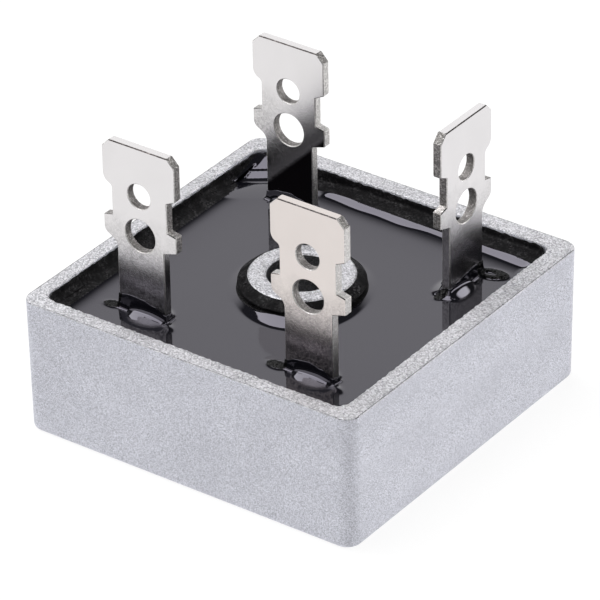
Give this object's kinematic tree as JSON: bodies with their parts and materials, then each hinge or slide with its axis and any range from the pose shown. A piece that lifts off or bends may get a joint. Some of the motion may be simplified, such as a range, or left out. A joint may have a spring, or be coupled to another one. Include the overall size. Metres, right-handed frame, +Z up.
{
  "type": "bridge rectifier",
  "caption": "Square bridge rectifier in a cast metal case with push-on tab terminals set in black resin and a hollow post for the mounting screw.",
  "frame": {"origin": "centre of the case's underside, on the axis of the mounting hole", "axes": "+Z up along the mounting hole towards the tabs, +X towards the wall beside the turned positive tab, -Y towards the wall beside the negative tab"},
  "size_m": [0.0286, 0.0286, 0.0229],
  "materials": {
    "cast_aluminium": "bead-blasted, fine matte grain",
    "resin": "cast, glossy, self-levelled",
    "nickel_plate": "satin nickel plate, sheared edges",
    "pad": "matte",
    "silicon": "satin",
    "solder": "dull, reflowed"
  },
  "bodies": {
    "root": {"case": "cast_aluminium", "potting_compound": "resin", "insulating_pad": "pad", "negative_terminal": "nickel_plate", "positive_terminal": "nickel_plate", "ac_terminal_front": "nickel_plate", "ac_terminal_back": "nickel_plate", "diode_die_front": "silicon", "lower_solder_front": "solder", "upper_solder_front": "solder", "diode_die_right": "silicon", "lower_solder_right": "solder", "upper_solder_right": "solder", "diode_die_back": "silicon", "lower_solder_back": "solder", "upper_solder_back": "solder", "diode_die_left": "silicon", "lower_solder_left": "solder", "upper_solder_left": "solder"}
  },
  "joints": []
}
